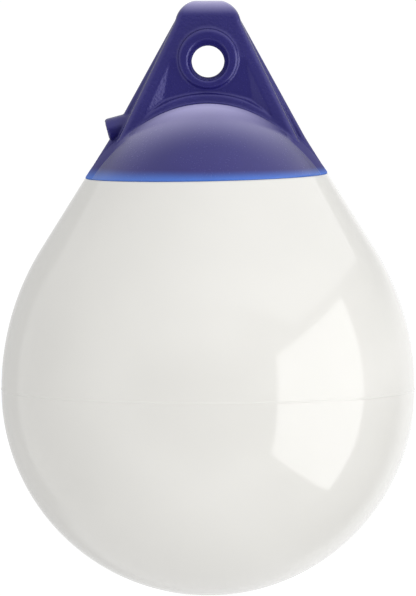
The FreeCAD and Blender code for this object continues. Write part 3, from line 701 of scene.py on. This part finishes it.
def apply_modifier(piece, kind, **settings):
    """Run one modifier on a piece and keep its result as the piece's mesh."""
    modifier = piece.modifiers.new(kind.title(), kind)
    for name, value in settings.items():
        setattr(modifier, name, value)
    bpy.context.view_layer.update()
    shaped = piece.evaluated_get(bpy.context.evaluated_depsgraph_get())
    mesh = bpy.data.meshes.new_from_object(shaped)
    old = piece.data
    piece.modifiers.clear()
    piece.data = mesh
    bpy.data.meshes.remove(old)
    mesh.name = piece.name


def mark_collar(piece, settings):
    """Weight the points along the collar's edge, so that it blends softly into the web."""
    group = piece.vertex_groups.new(name="collar")
    for vertex in piece.data.vertices:
        off = abs(math.hypot(vertex.co.x, vertex.co.z - settings.collar_rise) - settings.collar_radius)
        weight = 2 * (1 - off / settings.collar_reach)
        if weight > 0:
            group.add([vertex.index], min(1.0, weight), "REPLACE")


def press_thread(mesh, settings):
    """Press a rounded thread into the valve screw's shank, faded over half a turn at each end."""
    first = VALVE_AXIS.orthogonal().normalized()
    second = VALVE_AXIS.cross(first)
    for vertex in mesh.vertices:
        offset = vertex.co - VALVE_FACE
        depth = -offset.dot(VALVE_AXIS)
        radial = offset + VALVE_AXIS * depth
        if radial.length < settings.thread_core:
            continue
        run = min(depth - settings.thread_start, settings.thread_end - depth) / settings.pitch
        angle = math.atan2(radial.dot(second), radial.dot(first))
        groove = 0.5 + 0.5 * math.cos(math.tau * depth / settings.pitch + angle)
        inside = max(0.0, min(1.0, 2 * run))
        vertex.co -= radial.normalized() * settings.thread_depth * groove * inside


def copy_node(node, name, material):
    """A new piece that starts as a copy of a solid's mesh."""
    mesh = frame["nodes"][node].data.copy()
    mesh.name = name
    return new_piece(name, mesh, material)


def cover_node(name, material):
    """Give a carried-over solid its finish."""
    node = frame["nodes"][name]
    node.data.materials.clear()
    node.data.materials.append(material)


class BUOY_OT_float(bpy.types.Operator):
    """Turn the float's skin with its parting line and give it white vinyl"""

    bl_idname = "buoy.float"
    bl_label = "Float"

    def execute(self, context):
        settings = context.scene.buoy_float
        mesh = lathe("float_skin", float_profile(settings), settings.segments)
        lean_seam(mesh, context.scene.buoy_head, settings)
        piece = new_piece("float_skin", mesh, white_vinyl(settings))
        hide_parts("float_body")
        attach(piece, "buoy")
        return {"FINISHED"}


class BUOY_OT_head(bpy.types.Operator):
    """Soften the rope head's moulding and give it navy vinyl"""

    bl_idname = "buoy.head"
    bl_label = "Rope Head"

    def execute(self, context):
        settings = context.scene.buoy_head
        float_settings = context.scene.buoy_float
        finish = navy_vinyl(settings, float_settings, HEAD_LOW.z)
        piece = copy_node("rope_head", "head_moulding", finish)
        apply_modifier(piece, "REMESH", mode="VOXEL", voxel_size=settings.voxel)
        apply_modifier(piece, "SMOOTH", factor=0.5, iterations=settings.softening)
        mark_collar(piece, settings)
        apply_modifier(
            piece, "SMOOTH", factor=0.5, iterations=settings.collar_softening, vertex_group="collar")
        triangles = 2 * len(piece.data.polygons)
        if triangles > settings.triangles:
            apply_modifier(piece, "DECIMATE", ratio=settings.triangles / triangles)
        smooth_mesh(piece.data)
        lean_seam(piece.data, settings, float_settings)
        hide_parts("rope_head")
        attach(piece, "buoy")
        return {"FINISHED"}


class BUOY_OT_valve(bpy.types.Operator):
    """Press the valve screw's thread and give the valve's pieces their nylon and rubber"""

    bl_idname = "buoy.valve"
    bl_label = "Air Valve"

    def execute(self, context):
        settings = context.scene.buoy_valve
        screw = copy_node(
            "valve_screw", "threaded_screw", moulded_nylon("screw_nylon", settings.screw_colour))
        apply_modifier(screw, "REMESH", mode="VOXEL", voxel_size=settings.grain)
        apply_modifier(screw, "SMOOTH", factor=0.5, iterations=settings.softening)
        press_thread(screw.data, settings)
        smooth_mesh(screw.data)
        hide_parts("valve_screw")
        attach(screw, "screw")
        cover_node("valve_insert", moulded_nylon("insert_nylon", settings.insert_colour))
        cover_node("valve_seal", black_rubber(settings.seal_colour))
        return {"FINISHED"}


def rectangle(name, centre, across, up):
    """A flat mesh of one face, given by its centre and its half-sides."""
    centre, across, up = Vector(centre), Vector(across), Vector(up)
    corners = [
        centre - across - up, centre + across - up, centre + across + up, centre - across + up]
    mesh = bpy.data.meshes.new(name)
    mesh.from_pydata(corners, [], [(0, 1, 2, 3)])
    return mesh


def panel(mesh, strength, left=1.0):
    """A glowing panel that only reflections see; left is its left end's share of the brightness."""
    left_end, right_end = -0.7, 0.8
    material, shader = new_material(mesh.name)
    right = shader.ramp(shader.split(shader.place())["X"], left_end, right_end)
    dim = shader.node("ShaderNodeEmission", None, {"Strength": strength * left})
    full = shader.node("ShaderNodeEmission", None, {"Strength": strength})
    glow = shader.node("ShaderNodeMixShader", None, {0: right, 1: dim.out(), 2: full.out()})
    shader.node("ShaderNodeOutputMaterial", None, {"Surface": glow.out()})
    piece = new_piece(mesh.name, mesh, material)
    piece.visible_camera = False
    piece.visible_diffuse = False
    piece.visible_shadow = False
    piece.visible_transmission = False


# Where the surround's dimmer and brighter parts begin and end, in parts of a unit direction.
FRONT = (0.60, 0.95)
FRONT_TOP = (0.06, 0.50)
BEHIND = (0.0, 0.1)
BEHIND_TOP = (0.45, 0.6)
FLAG_OUTER = (0.70, 0.77)
FLAG_INNER = (-0.1, 0.35)
RIM_DEPTH = (0.6, 0.85)
RIM_SIDE = (0.0, 0.3)
RIM_TOP = (0.05, 0.3)
ALOFT_SIDE = (0.2, 0.45)
ALOFT_FOOT = (0.05, 0.25)
LOW_SIDE = (0.25, 0.6)
LOW_TOP = (-0.15, 0.05)


class BUOY_OT_stage(bpy.types.Operator):
    """Set the floor, the soft light, the white surround and the camera"""

    bl_idname = "buoy.stage"
    bl_label = "Stage"

    def execute(self, context):
        settings = context.scene.buoy_stage
        self.make_floor(settings)
        self.make_world(settings)
        self.make_lights(settings)
        self.make_camera(settings)
        context.scene.view_settings.view_transform = "Standard"
        return {"FINISHED"}

    def make_floor(self, settings):
        """A pale floor under the hanging buoy, which is clear when it is seen from beneath."""
        half = 30.0
        level = FLOAT_LOW.z - settings.floor_gap
        mesh = rectangle("floor", (0, 0, level), (half, 0, 0), (0, half, 0))
        material, shader = new_material("pale_floor")
        seen = shader.node("ShaderNodeLightPath").value("Is Camera Ray")
        glow = shader.blend_colours(seen, grey(0), grey(settings.floor_glow))
        surface = shader.node("ShaderNodeBsdfPrincipled", None, {
            "Base Color": grey(settings.floor_shade), "Roughness": 0.9, "Specular IOR Level": 0.0,
            "Emission Color": glow, "Emission Strength": 1.0})
        clear = shader.node("ShaderNodeBsdfTransparent")
        beneath = shader.node("ShaderNodeNewGeometry").out("Backfacing")
        both = shader.node("ShaderNodeMixShader", None, {
            0: beneath, 1: surface.out(), 2: clear.out()})
        shader.node("ShaderNodeOutputMaterial", None, {"Surface": both.out()})
        floor = new_piece("floor", mesh, material)
        floor.visible_glossy = False

    def make_world(self, settings):
        """A white surround, which reflections see dimmer or brighter in some directions."""
        world = bpy.data.worlds.new("surround")
        bpy.context.scene.world = world
        shader = Shader(world)
        rays = shader.node("ShaderNodeLightPath")
        seen = (rays.value("Is Camera Ray") + rays.value("Is Transmission Ray")).math("MINIMUM", 1)
        level = settings.fill + (1 - settings.fill) * seen
        level += rays.value("Is Glossy Ray") * (self.mirrored(shader, settings) - settings.fill)
        light = shader.node("ShaderNodeBackground", None, {"Color": grey(1), "Strength": level})
        shader.node("ShaderNodeOutputWorld", None, {"Surface": light.out()})

    def mirrored(self, shader, settings):
        """The surround's brightness in reflections, by fixed directions of the scene."""
        way = shader.split(shader.node("ShaderNodeTexCoord").out("Generated"))
        front = shader.ramp(way["Y"] * -1, *FRONT) * (1 - shader.ramp(way["Z"], *FRONT_TOP))
        side = way["X"] * -1 / hypotenuse(way["X"], way["Y"])
        behind = shader.ramp(way["Y"], *BEHIND)
        behind *= 1 - shader.ramp(way["Z"].math("ABSOLUTE"), *BEHIND_TOP)
        flag = behind * (1 - shader.ramp(side, *FLAG_OUTER)) * shader.rise(side, *FLAG_INNER)
        past = shader.ramp(way["Y"], *RIM_DEPTH)
        rim = past * shader.ramp(way["X"], *RIM_SIDE) * (1 - shader.ramp(way["Z"], *RIM_TOP))
        aloft = shader.ramp(way["X"], *ALOFT_SIDE) * shader.ramp(way["Z"], *ALOFT_FOOT)
        low = shader.ramp(way["X"], *LOW_SIDE) * (1 - past)
        low *= 1 - shader.ramp(way["Z"], *LOW_TOP)
        return (
            1 - settings.front_dip * front - settings.flag_dip * flag + settings.rim_lift * rim
            - settings.aloft_dip * aloft - settings.low_dip * low)

    def make_lights(self, settings):
        """A window at the right, a roof overhead and one soft lamp in front."""
        window = rectangle(
            "window", centre=(1.0, -0.62, -0.38), across=(0, 0.66, 0.05), up=(0, 0, 0.69))
        roof = rectangle("roof", centre=(-1.0, 0.1, 1.03), across=(3.0, 0, 0), up=(0, 1.6, 0))
        panel(window, settings.window)
        panel(roof, settings.roof, settings.roof_left)
        lamp = bpy.data.lights.new("key", "AREA")
        lamp.shape = "RECTANGLE"
        lamp.size = settings.key_width
        lamp.size_y = settings.key_height
        lamp.energy = settings.key
        key = bpy.data.objects.new("key", lamp)
        key.location = settings.key_place
        facing = Vector(settings.key_aim) - key.location
        key.rotation_euler = facing.to_track_quat("-Z", "Y").to_euler()
        key.visible_glossy = False
        bpy.context.scene.collection.objects.link(key)

    def make_camera(self, settings):
        """A long lens that looks down a little and takes in the whole buoy."""
        data = bpy.data.cameras.new("camera")
        data.sensor_fit = "VERTICAL"
        data.sensor_height = 36.0
        data.lens = data.sensor_height * settings.distance / settings.view_height
        data.clip_end = 100
        camera = bpy.data.objects.new("camera", data)
        bpy.context.scene.collection.objects.link(camera)
        aim = Vector((0, 0, settings.aim_height))
        away = Vector((0, -math.cos(settings.elevation), math.sin(settings.elevation)))
        camera.location = aim + away * settings.distance
        camera.rotation_euler = (-away).to_track_quat("-Z", "Y").to_euler()
        bpy.context.scene.camera = camera


class BUOY_PT_pieces(bpy.types.Panel):
    """Lists the buoy's pieces and their settings"""

    bl_idname = "BUOY_PT_pieces"
    bl_label = "Mooring Buoy"
    bl_space_type = "VIEW_3D"
    bl_region_type = "UI"
    bl_category = "Buoy"

    def draw(self, context):
        scene = context.scene
        for operator, settings in (
                (BUOY_OT_float, scene.buoy_float), (BUOY_OT_head, scene.buoy_head),
                (BUOY_OT_valve, scene.buoy_valve), (BUOY_OT_stage, scene.buoy_stage)):
            box = self.layout.box()
            box.operator(operator.bl_idname)
            for name in settings.bl_rna.properties.keys():
                if name not in ("rna_type", "name"):
                    box.prop(settings, name)


SETTINGS = {
    "buoy_float": FloatSettings,
    "buoy_head": HeadSettings,
    "buoy_valve": ValveSettings,
    "buoy_stage": StageSettings,
}
CLASSES = (
    *SETTINGS.values(), BUOY_OT_float, BUOY_OT_head, BUOY_OT_valve, BUOY_OT_stage, BUOY_PT_pieces)


def register():
    for kind in CLASSES:
        bpy.utils.register_class(kind)
    for name, kind in SETTINGS.items():
        setattr(bpy.types.Scene, name, PointerProperty(type=kind))


def unregister():
    for name in SETTINGS:
        delattr(bpy.types.Scene, name)
    for kind in reversed(CLASSES):
        bpy.utils.unregister_class(kind)


def main():
    register()
    bpy.ops.buoy.stage()
    bpy.ops.buoy.float()
    bpy.ops.buoy.head()
    bpy.ops.buoy.valve()


if __name__ == "__main__":
    main()
